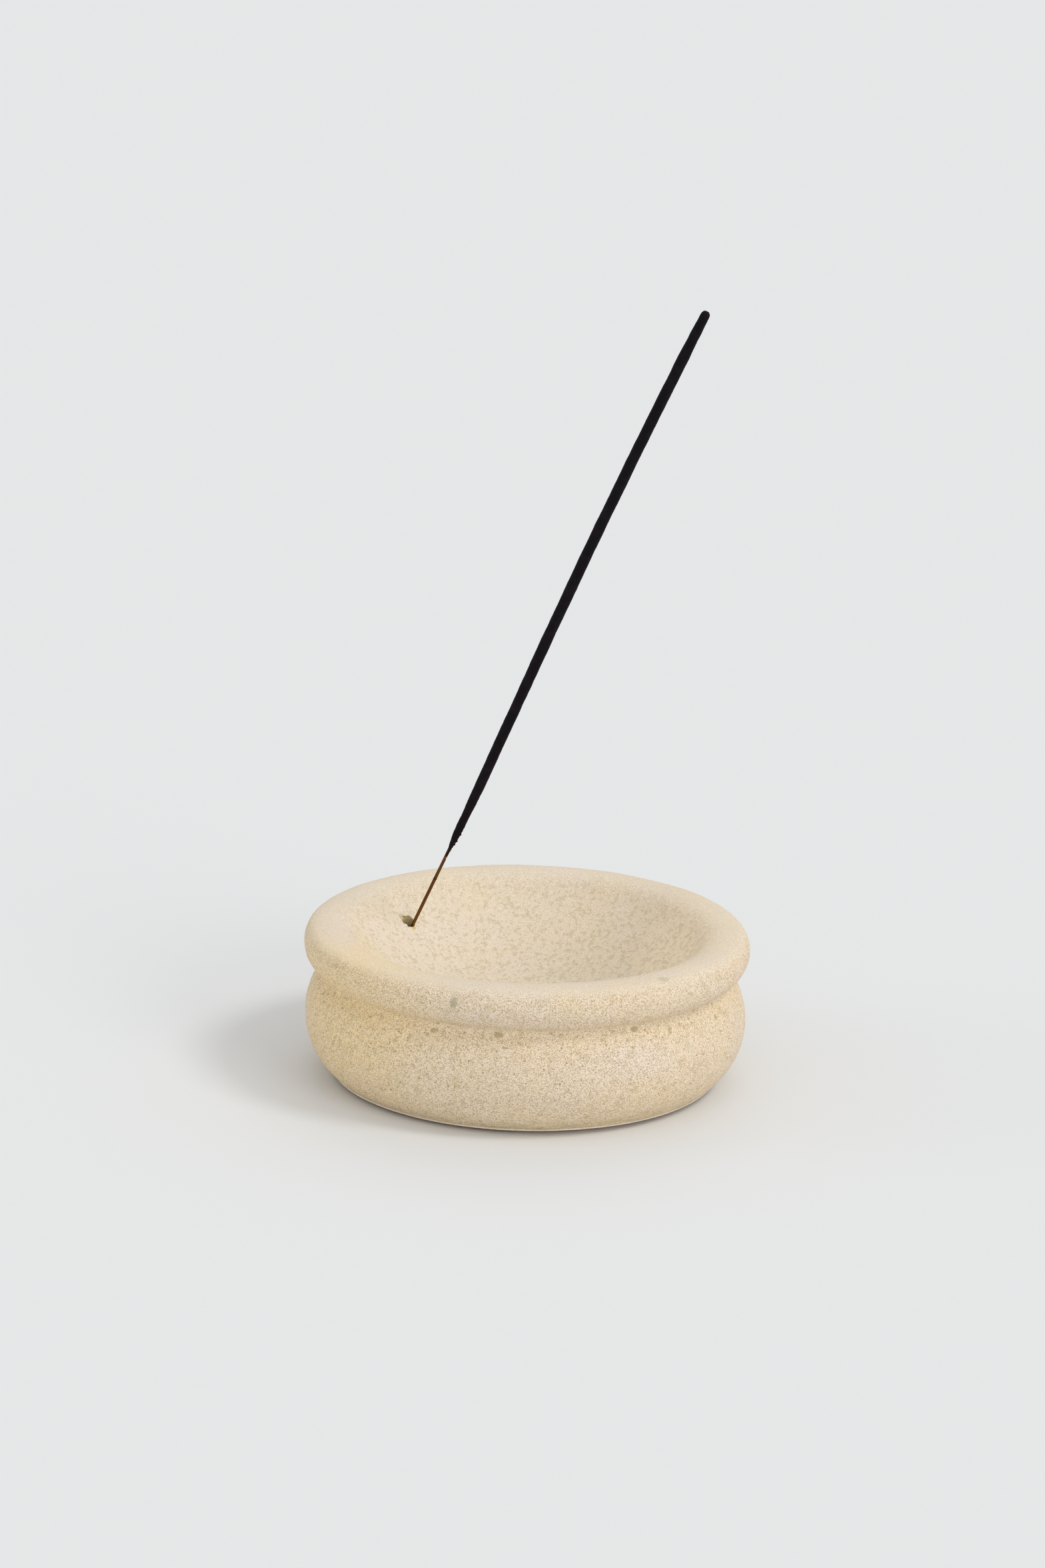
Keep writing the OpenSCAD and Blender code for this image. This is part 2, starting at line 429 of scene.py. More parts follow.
def paint(tree, under, mask, colour, strength=1.0):
    """Lays a colour over what is under it, where the mask is 1."""
    share = maths(tree, "MULTIPLY", mask, strength) if strength != 1.0 else mask
    node = add(tree, "ShaderNodeMix", data_type="RGBA")
    tree.links.new(share, node.inputs["Factor"])
    for socket, value in ((node.inputs["A"], under), (node.inputs["B"], colour)):
        if isinstance(value, bpy.types.NodeSocket):
            tree.links.new(value, socket)
        else:
            socket.default_value = (*value, 1.0)
    return node.outputs["Result"]


# %% [markdown]
# ## Sandy stone
# The stone is sand and pale cement, or a soft sandstone: buff, with pink and straw-coloured clouds,
# olive grains that gather in the bowl and the waist, and a skin of fine pits. The colour is built up
# as a mason would describe it, from the widest clouds down to single dark grains. Each layer reads
# the place in the stone itself, so it runs unbroken over the rim, into the bowl and into the hole.

# %% Zones of the dish
stone, tree, shader = new_material("sandy stone")
place = add(tree, "ShaderNodeTexCoord").outputs["Object"]
parts = add(tree, "ShaderNodeSeparateXYZ", {0: place})
flat_place = add(tree, "ShaderNodeCombineXYZ", {"X": parts.outputs["X"], "Y": parts.outputs["Y"]}).outputs[0]
reach_out = vector_maths(tree, "LENGTH", flat_place)
up = parts.outputs["Z"]
above_floor = ramp(tree, up, 12 * MM, 15 * MM)
in_bowl = maths(tree, "MULTIPLY", ramp(tree, reach_out, 54 * MM, 44 * MM), above_floor)
outside = maths(tree, "SUBTRACT", 1.0, in_bowl)
below_rim = maths(tree, "MULTIPLY", ramp(tree, up, 41.5 * MM, 38.5 * MM), outside)
under_upper_roll = maths(tree, "MULTIPLY", ramp(tree, up, 33 * MM, 29 * MM), ramp(tree, up, 20 * MM, 27 * MM))
in_waist = maths(tree, "MULTIPLY", under_upper_roll, outside)
low_painted_shade = ramp(tree, up, 13 * MM, 2 * MM)

# %% Wide clouds of tone, and painted shade on the sides, low down and in the waist
SAND = (0.81, 0.69, 0.52)
PAINTED_SHADE_SAND = (0.86, 0.70, 0.50)
CREAM_AND_HIGHLIGHT = (0.86, 0.77, 0.65)
ROSE_AND_HIGHLIGHT = (0.85, 0.73, 0.63)
STRAW_AND_SHADE_TINT = (0.88, 0.72, 0.48)
PAINTED_LIGHT_FLANK = (0.96, 0.745, 0.41)
PAINTED_LIGHT_WALL = (0.97, 0.81, 0.59)
RUST = (0.46, 0.28, 0.10)
OLIVE = (0.47, 0.40, 0.19)
UMBER = (0.33, 0.21, 0.09)
SLATE = (0.35, 0.33, 0.23)
DRAB = (0.45, 0.345, 0.18)

# Painted shade: the outer walls below the rim face sideways and get less light than the top, so they are
# painted a warmer sand.
colour = paint(tree, SAND, below_rim, PAINTED_SHADE_SAND, 0.75)
cream_clouds = mask_from(tree, patches, place, size=30 * MM, level=0.5, softness=0.16, seed=2.0)
colour = paint(tree, colour, cream_clouds, CREAM_AND_HIGHLIGHT, 0.35)
rose_clouds = mask_from(tree, patches, place, size=16 * MM, level=0.54, softness=0.12, seed=7.0)
colour = paint(tree, colour, rose_clouds, ROSE_AND_HIGHLIGHT, 0.4)
straw_clouds = mask_from(tree, patches, place, size=13 * MM, level=0.56, softness=0.12, seed=11.0)
colour = paint(tree, colour, straw_clouds, STRAW_AND_SHADE_TINT, 0.3)
# Painted shade: the stone near the table and in the waist gets less light, so it is painted a deeper straw
# there.
colour = paint(tree, colour, low_painted_shade, STRAW_AND_SHADE_TINT, 0.5)
colour = paint(tree, colour, in_waist, STRAW_AND_SHADE_TINT, 0.55)

# %% Broad tones at their places: a worn cheek, and painted light on the left flank, the right inner wall and the shoulder of the left rim
TONES = (
    # Painted light: the left flank is painted lighter and warmer than its own stone, for light that falls on
    # that side.
    ("straw flank on the left", (-46, -32, 25), (46, 46, 34), PAINTED_LIGHT_FLANK, 1.0),
    # Painted light: the right inner wall of the bowl lies in shade and is painted lighter to lift it.
    ("pale inner wall on the right", (42, 2, 33), (22, 36, 19), PAINTED_LIGHT_WALL, 1.0),
    ("pale worn cheek", (28, -51, 21), (19, 14, 8), ROSE_AND_HIGHLIGHT, 0.75),
    # Painted highlight: the shoulder of the left rim is painted paler where the light catches it.
    ("pale shoulder of the left rim", (-49, -8, 41), (10, 26, 6), ROSE_AND_HIGHLIGHT, 0.6),
)
for label, centre, reach, tint, strength in TONES:
    mask = mask_from(tree, mark, place, centre=[v * MM for v in centre], reach=[v * MM for v in reach],
                     raggedness=0.2, softness=0.85)
    colour = paint(tree, colour, mask, tint, strength)

# %% Olive grains, thick in the bowl and thinner outside
bowl_mottle = mask_from(
    tree, patches, place, size=1.15 * MM, level=0.555, softness=0.075, detail=2.5, seed=3.0)
colour = paint(tree, colour, maths(tree, "MULTIPLY", bowl_mottle, in_bowl), OLIVE, 0.43)
side_mottle = mask_from(
    tree, patches, place, size=1.5 * MM, level=0.60, softness=0.08, detail=2.0, seed=5.0)
colour = paint(tree, colour, maths(tree, "MULTIPLY", side_mottle, below_rim), OLIVE, 0.34)
big_grains = mask_from(tree, pits, place, spacing=5 * MM, radius=0.20, raggedness=0.4, seed=0.4)
colour = paint(tree, colour, maths(tree, "MULTIPLY", big_grains, below_rim), OLIVE, 0.4)
waist_grains = mask_from(tree, pits, place, spacing=3.2 * MM, radius=0.25, raggedness=0.5, seed=0.9)
colour = paint(tree, colour, maths(tree, "MULTIPLY", waist_grains, in_waist), DRAB, 0.75)

# %% Fine pits and pale grains, all over
fine_pits = mask_from(
    tree, patches, place, size=0.31 * MM, level=0.53, softness=0.05, detail=1.0, seed=21.0)
PITS_ON_TOP, MORE_BELOW_RIM = 0.25, 0.40
pit_strength = maths(tree, "ADD", maths(tree, "MULTIPLY", below_rim, MORE_BELOW_RIM), PITS_ON_TOP)
colour = paint(tree, colour, maths(tree, "MULTIPLY", fine_pits, pit_strength), RUST)
pale_grains = mask_from(
    tree, patches, place, size=0.30 * MM, level=0.53, softness=0.05, detail=1.0, seed=33.0)
colour = paint(tree, colour, pale_grains, CREAM_AND_HIGHLIGHT, 0.5)
deep_pits = mask_from(tree, pits, place, spacing=0.95 * MM, radius=0.30, raggedness=0.9, seed=0.1)
colour = paint(tree, colour, maths(tree, "MULTIPLY", deep_pits, below_rim), UMBER, 0.45)

# %% Single marks that this dish has
MARKS = (
    ("slate fleck on the upper roll", (-18.6, -57.0, 37.3), (1.2, 1.6, 2.1), SLATE, 0.6),
    ("slate fleck on the shoulder", (35.7, -44.2, 41.1), (1.9, 1.6, 0.9), SLATE, 0.3),
    ("dark grain in the waist, right", (28.5, -47.6, 28.4), (1.6, 1.3, 1.0), DRAB, 0.75),
    ("grain under the waist, right", (37.9, -42.3, 26.4), (0.8, 0.8, 1.2), DRAB, 0.7),
    ("grain under the waist, far right", (50.3, -27.2, 25.7), (0.7, 0.8, 1.2), DRAB, 0.7),
    ("dark grain in the waist, middle", (-6.7, -55.1, 28.3), (1.5, 1.1, 1.0), DRAB, 0.75),
    ("dark grain in the waist, left", (-23.7, -50.7, 27.6), (1.2, 1.0, 0.9), DRAB, 0.75),
    ("bruise round the scratch", (-4.9, -57.2, 24.2), (2.2, 1.5, 1.4), ROSE_AND_HIGHLIGHT, 0.35),
    ("short scratch below the waist", (-4.9, -57.0, 25.4), (1.2, 1.0, 0.3), UMBER, 0.6),
)
for label, centre, reach, tint, strength in MARKS:
    mask = mask_from(tree, mark, place, centre=[v * MM for v in centre], reach=[v * MM for v in reach],
                     raggedness=0.7, softness=0.45)
    colour = paint(tree, colour, mask, tint, strength)
print(len(TONES), "broad tones and", len(MARKS), "single marks")

# %% Dust and painted warm shade in the hole, and crumbs at its mouth, placed from the point where the stick leaves the bowl
DUST_AND_SHADE_IN_HOLE, CRUMB_STONE = (0.60, 0.47, 0.23), (0.68, 0.48, 0.18)
DUST_AND_SHADE_REACH, DUST_AND_SHADE_FROM, DUST_AND_SHADE_TO = 8 * MM, 0.15 * MM, 0.5 * MM
below_wall = maths(tree, "SUBTRACT", vector_maths(tree, "DISTANCE", place, (0, 0, bowl.y)), BOWL_RADIUS)
near_hole = mask_from(
    tree, mark, place, centre=mouth, reach=(DUST_AND_SHADE_REACH,) * 3, raggedness=0.2, softness=0.3)
in_hole = maths(tree, "MULTIPLY", ramp(tree, below_wall, DUST_AND_SHADE_FROM, DUST_AND_SHADE_TO), near_hole)
# Dust and painted shade: the inside of the hole is painted a warm olive brown, for its dust and for the warm
# shade deep in it.
colour = paint(tree, colour, in_hole, DUST_AND_SHADE_IN_HOLE, 0.85)
HOLE_MARKS = (
    ("crumbs of straw-coloured stone", (0.2, -0.86, -0.66), 0.85, CRUMB_STONE, 0.85),
    ("shallow chip beside the hole", (-3.2, -0.3, 2.1), 1.2, OLIVE, 0.45),
)
for label, offset, reach, tint, strength in HOLE_MARKS:
    mask = mask_from(tree, mark, place, centre=mouth + Vector(offset) * MM, reach=(reach * MM,) * 3,
                     raggedness=0.8, softness=0.35)
    colour = paint(tree, colour, mask, tint, strength)

# %% The streaks, and the band round the base painted lighter as a highlight
LAID_FLAT = (0.12, 0.12, 1.0)
laid_place = vector_maths(tree, "MULTIPLY", place, LAID_FLAT)
streaks = mask_from(
    tree, patches, laid_place, size=0.8 * MM, level=0.5, softness=0.1, detail=2.0, seed=14.0)
low_streaks = maths(tree, "MULTIPLY", streaks, ramp(tree, up, 6 * MM, 2.5 * MM))
colour = paint(tree, colour, low_streaks, OLIVE, 0.35)
HIGHLIGHT_BAND_TOP, EDGE_TOP = 1.8 * MM, 1.18 * MM
# Painted highlight: a lighter band just above the eased edge, where the base's edge catches the light.
colour = paint(tree, colour, ramp(tree, up, HIGHLIGHT_BAND_TOP, HIGHLIGHT_BAND_TOP - 0.25 * MM), CREAM_AND_HIGHLIGHT, 0.5)
colour = paint(tree, colour, ramp(tree, up, EDGE_TOP, EDGE_TOP - 0.15 * MM), RUST, 0.6)

# %% Roughness, relief and the finished stone
shader.inputs["Roughness"].default_value = 0.92
shader.inputs["Specular IOR Level"].default_value = 0.25
tree.links.new(colour, shader.inputs["Base Color"])
relief = maths(tree, "SUBTRACT", maths(tree, "MULTIPLY", pale_grains, 0.6), fine_pits)
relief = maths(tree, "SUBTRACT", relief, deep_pits)
bump = add(tree, "ShaderNodeBump", {"Height": relief, "Strength": 0.6, "Distance": 0.09 * MM})
tree.links.new(bump.outputs[0], shader.inputs["Normal"])

# %% [markdown]
# ## Turning the dish
# The dish goes on the lathe with a skin that dips in by up to a fifth of a millimetre, the soft
# unevenness of a casting that was rubbed down by hand. A sculpted mesh could have the same dips,
# but noise on the turned mesh is even all round. The flat underside stays true.

# %% Turn the dish
dish = turn_piece(
    "stone_dish", dish_template, stone,
    steps_around=320, dent_depth=0.16 * MM, dent_size=14 * MM,
    grain_depth=0.05 * MM, grain_size=2.6 * MM, seed=4.0, untouched_below=0.7 * MM,
)

# %% [markdown]
# ## Drilling the hole
# The hole was drilled after casting. The drill leaned less than the stick does, so the thin core
# rests against the inner edge of the mouth. Brittle stone breaks out where a drill enters, so the
# mouth has ragged chips, most on its upper left. Both the drill and the chips are solid shapes that
# are taken away from the dish, so the hole is real in the mesh and not a dark spot.

# %% Shapes to take away
HOLE_RADIUS = 1.75 * MM
HOLE_LEAN = math.radians(22.2)
FOOT_GAP = 0.2 * MM
hole_axis = (Vector((0, 0, math.cos(HOLE_LEAN))) - outward * math.sin(HOLE_LEAN)).normalized()
hole_middle = foot + stick_axis * IN_HOLE / 2
hole_bottom = hole_middle - hole_axis * (IN_HOLE / 2 + FOOT_GAP)
wall_normal = (Vector((0, 0, bowl.y)) - mouth).normalized()
up_wall = (outward - wall_normal * outward.dot(wall_normal)).normalized()
along_wall = wall_normal.cross(up_wall)
OFF_CENTRE = 0.6 * MM
hole_bottom += along_wall * OFF_CENTRE
hole_mouth = hole_middle + hole_axis * (IN_HOLE / 2) + along_wall * OFF_CENTRE
BROKEN_BY, BREAKS_PER_LUMP = 0.45, 1.7


def lump(shape, centre, size, seed, squash):
    """A broken, many-sided lump, flattened along the wall's normal."""
    made = bmesh.ops.create_icosphere(shape, subdivisions=2, radius=1.0)["verts"]
    for vertex in made:
        rough = 1.0 + BROKEN_BY * noise.noise(vertex.co * BREAKS_PER_LUMP + Vector((seed, 0, 0)))
        point = vertex.co * rough
        point -= wall_normal * point.dot(wall_normal) * (1 - squash)
        vertex.co = centre + point * size


def cutter(name, build):
    shape = bmesh.new()
    build(shape)
    bmesh.ops.recalc_face_normals(shape, faces=shape.faces)
    mesh = bpy.data.meshes.new(name)
    shape.to_mesh(mesh)
    shape.free()
    mesh.materials.append(stone)
    return collect(bpy.data.objects.new(name, mesh))


DRILL_RUN = 14 * MM
WOBBLE, WOBBLES_PER_METRE = 0.05, 900


def drill_shape(shape):
    length = IN_HOLE + DRILL_RUN
    made = bmesh.ops.create_cone(shape, cap_ends=True, segments=40, radius1=HOLE_RADIUS,
                                 radius2=HOLE_RADIUS, depth=length)["verts"]
    turn = hole_axis.to_track_quat("Z", "Y")
    for vertex in made:
        wobble = 1 - WOBBLE * noise.noise(vertex.co * WOBBLES_PER_METRE)
        vertex.co.xy *= wobble
        vertex.co = hole_bottom + turn @ (vertex.co + Vector((0, 0, length / 2)))


CHIPS = (
    # Up the wall, along the wall and size, in mm, and the share of its size that it goes deep
    (1.55, 0.95, 1.00, 0.60),
    (1.20, -0.60, 0.75, 0.55),
    (0.45, 1.75, 1.15, 0.65),
    (-1.10, 1.05, 0.85, 0.50),
    (-1.25, -0.55, 0.60, 0.50),
    (2.60, 2.10, 1.15, 0.20),
)


def chip_shape(shape, seed, upward, side, size, squash):
    centre = hole_mouth + up_wall * upward * MM + along_wall * side * MM
    lump(shape, centre, size * MM, seed * 3.1, squash)


drill = cutter("drill", drill_shape)
chips = [cutter("chip", lambda shape: chip_shape(shape, seed, *chip)) for seed, chip in enumerate(CHIPS)]
print("hole mouth at", [round(v / MM, 1) for v in hole_mouth])

# %% [markdown]
# ## Pinholes
# Air caught in the mix leaves pinholes, from the waist down to just above the table. Dark dots in
# the colour would look flat from close by, so these are real hollows. Geometry Nodes scatter small
# lumps over the skin, fading out above the waist, with a fixed seed. The lumps are then taken away
# from the dish.

# %% Scatter lumps where the pinholes are
scatter = bpy.data.node_groups.new("Pinholes", "GeometryNodeTree")
scatter.is_modifier = True
scatter.interface.new_socket("Skin", in_out="INPUT", socket_type="NodeSocketGeometry")
for socket_name, default in (("Spacing", 3.0 * MM), ("Most", 9e4), ("Smallest", 0.16), ("Largest", 0.42)):
    socket = scatter.interface.new_socket(socket_name, in_out="INPUT", socket_type="NodeSocketFloat")
    socket.default_value = default
scatter.interface.new_socket("Seed", in_out="INPUT", socket_type="NodeSocketInt").default_value = 5
scatter.interface.new_socket("Lumps", in_out="OUTPUT", socket_type="NodeSocketGeometry")
asked = scatter.nodes.new("NodeGroupInput").outputs
skin_place = add(scatter, "ShaderNodeSeparateXYZ", {0: add(scatter, "GeometryNodeInputPosition").outputs[0]})
skin_flat = add(scatter, "ShaderNodeCombineXYZ", {"X": skin_place.outputs["X"], "Y": skin_place.outputs["Y"]})
skin_reach = vector_maths(scatter, "LENGTH", skin_flat.outputs[0])
outside = ramp(scatter, skin_reach, 53.0 * MM, 54.5 * MM)
low_enough = ramp(scatter, skin_place.outputs["Z"], 33 * MM, 27 * MM)
clear_of_table = ramp(scatter, skin_place.outputs["Z"], 2 * MM, 4 * MM)
share = maths(scatter, "MULTIPLY", maths(scatter, "MULTIPLY", outside, low_enough), clear_of_table)
points = add(scatter, "GeometryNodeDistributePointsOnFaces", {
    "Mesh": asked["Skin"], "Distance Min": asked["Spacing"], "Density Max": asked["Most"],
    "Density Factor": share, "Seed": asked["Seed"]}, distribute_method="POISSON")
stone_lump = add(scatter, "GeometryNodeMeshIcoSphere", {"Radius": 1 * MM, "Subdivisions": 1}).outputs[0]
lump_size = add(scatter, "FunctionNodeRandomValue", {
    "Min": asked["Smallest"], "Max": asked["Largest"], "Seed": asked["Seed"]}, data_type="FLOAT_VECTOR")
placed = add(scatter, "GeometryNodeInstanceOnPoints", {
    "Points": points.outputs["Points"], "Instance": stone_lump,
    "Rotation": points.outputs["Rotation"], "Scale": lump_size.outputs[0]}).outputs[0]
made = add(scatter, "GeometryNodeRealizeInstances", {"Geometry": placed}).outputs[0]
made = add(scatter, "GeometryNodeSetMaterial", {"Geometry": made, "Material": stone}).outputs[0]
add(scatter, "NodeGroupOutput", {"Lumps": made})

lumps_blank = collect(bpy.data.objects.new("pinhole_blank", dish.data.copy()))
lumps_blank.modifiers.new("Pinholes", "NODES").node_group = scatter
pinholes = plain_mesh(lumps_blank, "pinhole_lumps")
FACES_PER_LUMP = 20
print("pinholes:", len(pinholes.data.polygons) // FACES_PER_LUMP)

# %% Take the drill, the chips and the pinholes away
cutters = [drill, *chips, pinholes]
for tool in cutters:
    cut = dish.modifiers.new("Cut " + tool.name, "BOOLEAN")
    cut.object = tool
    cut.operation = "DIFFERENCE"
    cut.solver = "EXACT"
    tool.hide_render = True
cut_dish = plain_mesh(dish, "stone_dish")
for tool in cutters:
    bpy.data.objects.remove(tool)
dish = cut_dish
dish.data.shade_smooth()
SHARP_FROM = math.radians(38)
dish.data.set_sharp_from_angle(angle=SHARP_FROM)
print("dish after drilling:", len(dish.data.polygons), "faces")

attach(dish, "holder")
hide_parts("dish")

# %% [markdown]
# ## The bamboo core
# A split bamboo core is a thin rod with ridges along its fibres, one growth ring near the paste,
# and a dark brown dye. The same lathe turns it: stretching the noise along the rod makes dents
# into fibres. The stick has dried with a slight bend to the left, so core and paste share it.

# %% How the stick stands and bends
BEND_DEPTH, BEND_START, BEND_SPAN = 1.33 * MM, 62 * MM, 210 * MM
stick_turn = stick_axis.to_track_quat("Z", "Y")
left = Vector((-1, 0, 0))
bend_direction = (left - stick_axis * left.dot(stick_axis)).normalized()
stick_place = dict(
    bend=stick_turn.inverted() @ bend_direction * BEND_DEPTH,
    bend_start=BEND_START, bend_span=BEND_SPAN, place=foot, turn=stick_turn.to_euler(),
)
right = Vector((1, 0, 0))
right_side = stick_turn.inverted() @ (right - stick_axis * right.dot(stick_axis)).normalized()

# %% Bamboo finish
bamboo, tree, shader = new_material("stained bamboo")
bench = add(tree, "ShaderNodeAttribute", attribute_name="bench").outputs["Vector"]
bench_parts = add(tree, "ShaderNodeSeparateXYZ", {0: bench})
from_foot = bench_parts.outputs["Z"]
fibre_place = vector_maths(tree, "MULTIPLY", bench, (1.0, 1.0, 0.025))
dark_fibres = mask_from(
    tree, patches, fibre_place, size=0.22 * MM, level=0.5, softness=0.2, detail=3.0, seed=1.0)
DYED, DARK_DYE = (0.155, 0.062, 0.009), (0.018, 0.007, 0.002)
GOLDEN, SOOT, BARE_WOOD = (0.32, 0.16, 0.02), (0.014, 0.009, 0.007), (0.55, 0.40, 0.24)
colour = paint(tree, DYED, dark_fibres, DARK_DYE, 0.75)
streak_place = vector_maths(tree, "MULTIPLY", bench, (1.0, 1.0, 0.1))
thin_dye = mask_from(tree, patches, streak_place, size=0.8 * MM, level=0.56, softness=0.12, seed=6.0)
low_part = ramp(tree, from_foot, IN_HOLE + 9 * MM, IN_HOLE)
colour = paint(tree, colour, maths(tree, "MULTIPLY", thin_dye, low_part), GOLDEN, 0.5)
RING_AT = IN_HOLE + 16.6 * MM
ring = mask_from(tree, mark, bench, centre=(0, 0, RING_AT), reach=(5 * MM, 5 * MM, 0.35 * MM),
                 raggedness=0.2, softness=0.6)
colour = paint(tree, colour, ring, SOOT, 0.7)
PASTE_START = 46 * MM
sooted = ramp(tree, from_foot, PASTE_START + 0.5 * MM, PASTE_START + 1 * MM)
colour = paint(tree, colour, sooted, SOOT, 0.8)
SCRATCH_AT = PASTE_START + 0.2 * MM
scratch_place = right_side * CORE_RADIUS + Vector((0, 0, SCRATCH_AT))
scratch = mask_from(tree, mark, bench, centre=scratch_place, reach=(0.7 * MM, 0.7 * MM, 0.5 * MM),
                    raggedness=0.5)
colour = paint(tree, colour, scratch, BARE_WOOD, 0.9)
tree.links.new(colour, shader.inputs["Base Color"])
rough_fibres = ramp(tree, dark_fibres, 0.0, 1.0, 0.55, 0.8)
tree.links.new(rough_fibres, shader.inputs["Roughness"])
shader.inputs["Specular IOR Level"].default_value = 0.12
bump = add(tree, "ShaderNodeBump", {"Height": dark_fibres, "Strength": 0.4, "Distance": 0.04 * MM})
tree.links.new(bump.outputs[0], shader.inputs["Normal"])

# %% Turn the core
BARE_ROWS, RUN_IN_ROWS, HIDDEN_ROWS = 110, 9, 40
bare_rows = [PASTE_START * i / BARE_ROWS for i in range(1, BARE_ROWS + RUN_IN_ROWS + 1)]
hidden_from = bare_rows[-1]
hidden_rows = [hidden_from + (core_length - hidden_from) * i / HIDDEN_ROWS for i in range(1, HIDDEN_ROWS)]
RING_SWELL, RING_WIDTH = 0.045 * MM, 0.45 * MM
SHRUNK, CUT_FOOT, CUT_END = 0.94, 0.8, 0.9


def core_radius(from_foot):
    swelling = RING_SWELL * math.exp(-(((from_foot - RING_AT) / RING_WIDTH) ** 2))
    return CORE_RADIUS * SHRUNK + swelling


core_template = [Vector((0, 0)), Vector((CORE_RADIUS * CUT_FOOT, 0))]
core_template += [Vector((core_radius(z), z)) for z in bare_rows + hidden_rows]
core_template += [Vector((CORE_RADIUS * CUT_END, core_length)), Vector((0, core_length))]

core = turn_piece(
    "bamboo_rod", core_template, bamboo,
    steps_around=20, dent_depth=0.06 * MM, dent_size=0.45 * MM, dent_stretch=30.0,
    grain_depth=0.02 * MM, grain_size=0.2 * MM, seed=8.0, **stick_place,
)
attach(core, "stick")
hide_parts("bamboo_core")

# %% [markdown]
# ## The charcoal paste
# The paste is charcoal powder and gum, rolled on by hand. It starts as a thin smear, thickens in
# lumps over its first centimetres, then runs almost even to a blunt tip. The template gives the
# thickness and the lathe's noise gives the lumps. The smear's ragged start comes from rows that
# swell and sink at random.

# %% Charcoal finish
charcoal, tree, shader = new_material("charcoal paste")
bench = add(tree, "ShaderNodeAttribute", attribute_name="bench").outputs["Vector"]
from_foot = add(tree, "ShaderNodeSeparateXYZ", {0: bench}).outputs["Z"]
COAL, ASHY, BROWN_COAL = (0.0052, 0.0032, 0.0054), (0.012, 0.009, 0.013), (0.020, 0.011, 0.007)
dusty = mask_from(tree, patches, bench, size=2.5 * MM, level=0.55, softness=0.12, detail=3.0, seed=2.0)
colour = paint(tree, COAL, dusty, ASHY, 0.5)
powder = mask_from(tree, pits, bench, spacing=0.35 * MM, radius=0.35, raggedness=0.8, seed=0.3)
colour = paint(tree, colour, powder, ASHY, 0.45)
smear = ramp(tree, from_foot, PASTE_START + 9 * MM, PASTE_START)
colour = paint(tree, colour, smear, BROWN_COAL, 0.7)
tree.links.new(colour, shader.inputs["Base Color"])
shader.inputs["Roughness"].default_value = 0.88
shader.inputs["Specular IOR Level"].default_value = 0.13
COAL_GRAIN = 0.3 * MM
coal_grain = add(tree, "ShaderNodeTexNoise", {
    "Vector": bench, "Scale": 1 / COAL_GRAIN, "Detail": 3.0}).outputs[0]
bump = add(tree, "ShaderNodeBump", {
    "Height": maths(tree, "SUBTRACT", coal_grain, powder), "Strength": 0.7, "Distance": 0.06 * MM})
tree.links.new(bump.outputs[0], shader.inputs["Normal"])

# %% Turn the paste
# Distance from the foot and radius, in mm, where the paste's thickness changes
THICKNESS = (
    (47.3, 0.50), (49, 0.56), (50, 0.66), (52, 0.90), (54.5, 1.11), (59, 1.22), (66, 1.36), (74, 1.46),
    (100, 1.50), (128, 1.55), (150, 1.54), (212, 1.52), (220, 1.40),
    (226.2, 1.29), (226.9, 1.22), (227.3, 1.06), (227.55, 0.84),
)
TIP_AT, ROW_STEP = 227.6, 0.35
RAGGED_LENGTH, RAGGED_DEPTH, LUMP_MEMORY = 26, 0.22, 0.75
lumpy = random.Random(12)


def paste_radius(z):
    """The radius at z mm from the foot, smoothly between the given thicknesses."""
    for (z0, r0), (z1, r1) in zip(THICKNESS, THICKNESS[1:]):
        if z <= z1:
            share = (z - z0) / (z1 - z0)
            return r0 + (r1 - r0) * share * share * (3 - 2 * share) if r0 > r1 else r0 + (r1 - r0) * share
    return THICKNESS[-1][1]


paste_first, paste_last = THICKNESS[0][0], THICKNESS[-1][0]
row_count = round((paste_last - paste_first) / ROW_STEP)
paste_template = [Vector((0, paste_first * MM)), Vector((CORE_RADIUS * CUT_END, paste_first * MM))]
ring_lump = 0.0
for i in range(row_count + 1):
    z = paste_first + (paste_last - paste_first) * i / row_count
    raggedness = max(0.0, 1 - (z - paste_first) / RAGGED_LENGTH)
    ring_lump = LUMP_MEMORY * ring_lump + (1 - LUMP_MEMORY) * lumpy.uniform(-1, 1)
    paste_template.append(Vector((paste_radius(z) + RAGGED_DEPTH * raggedness * ring_lump, z)) * MM)
paste_template.append(Vector((0, TIP_AT)) * MM)

paste = turn_piece(
    "charcoal_coat", paste_template, charcoal,
    steps_around=36, dent_depth=0.10 * MM, dent_size=3.6 * MM, dent_stretch=1.8,
    grain_depth=0.05 * MM, grain_size=0.9 * MM, seed=9.0, **stick_place,
)

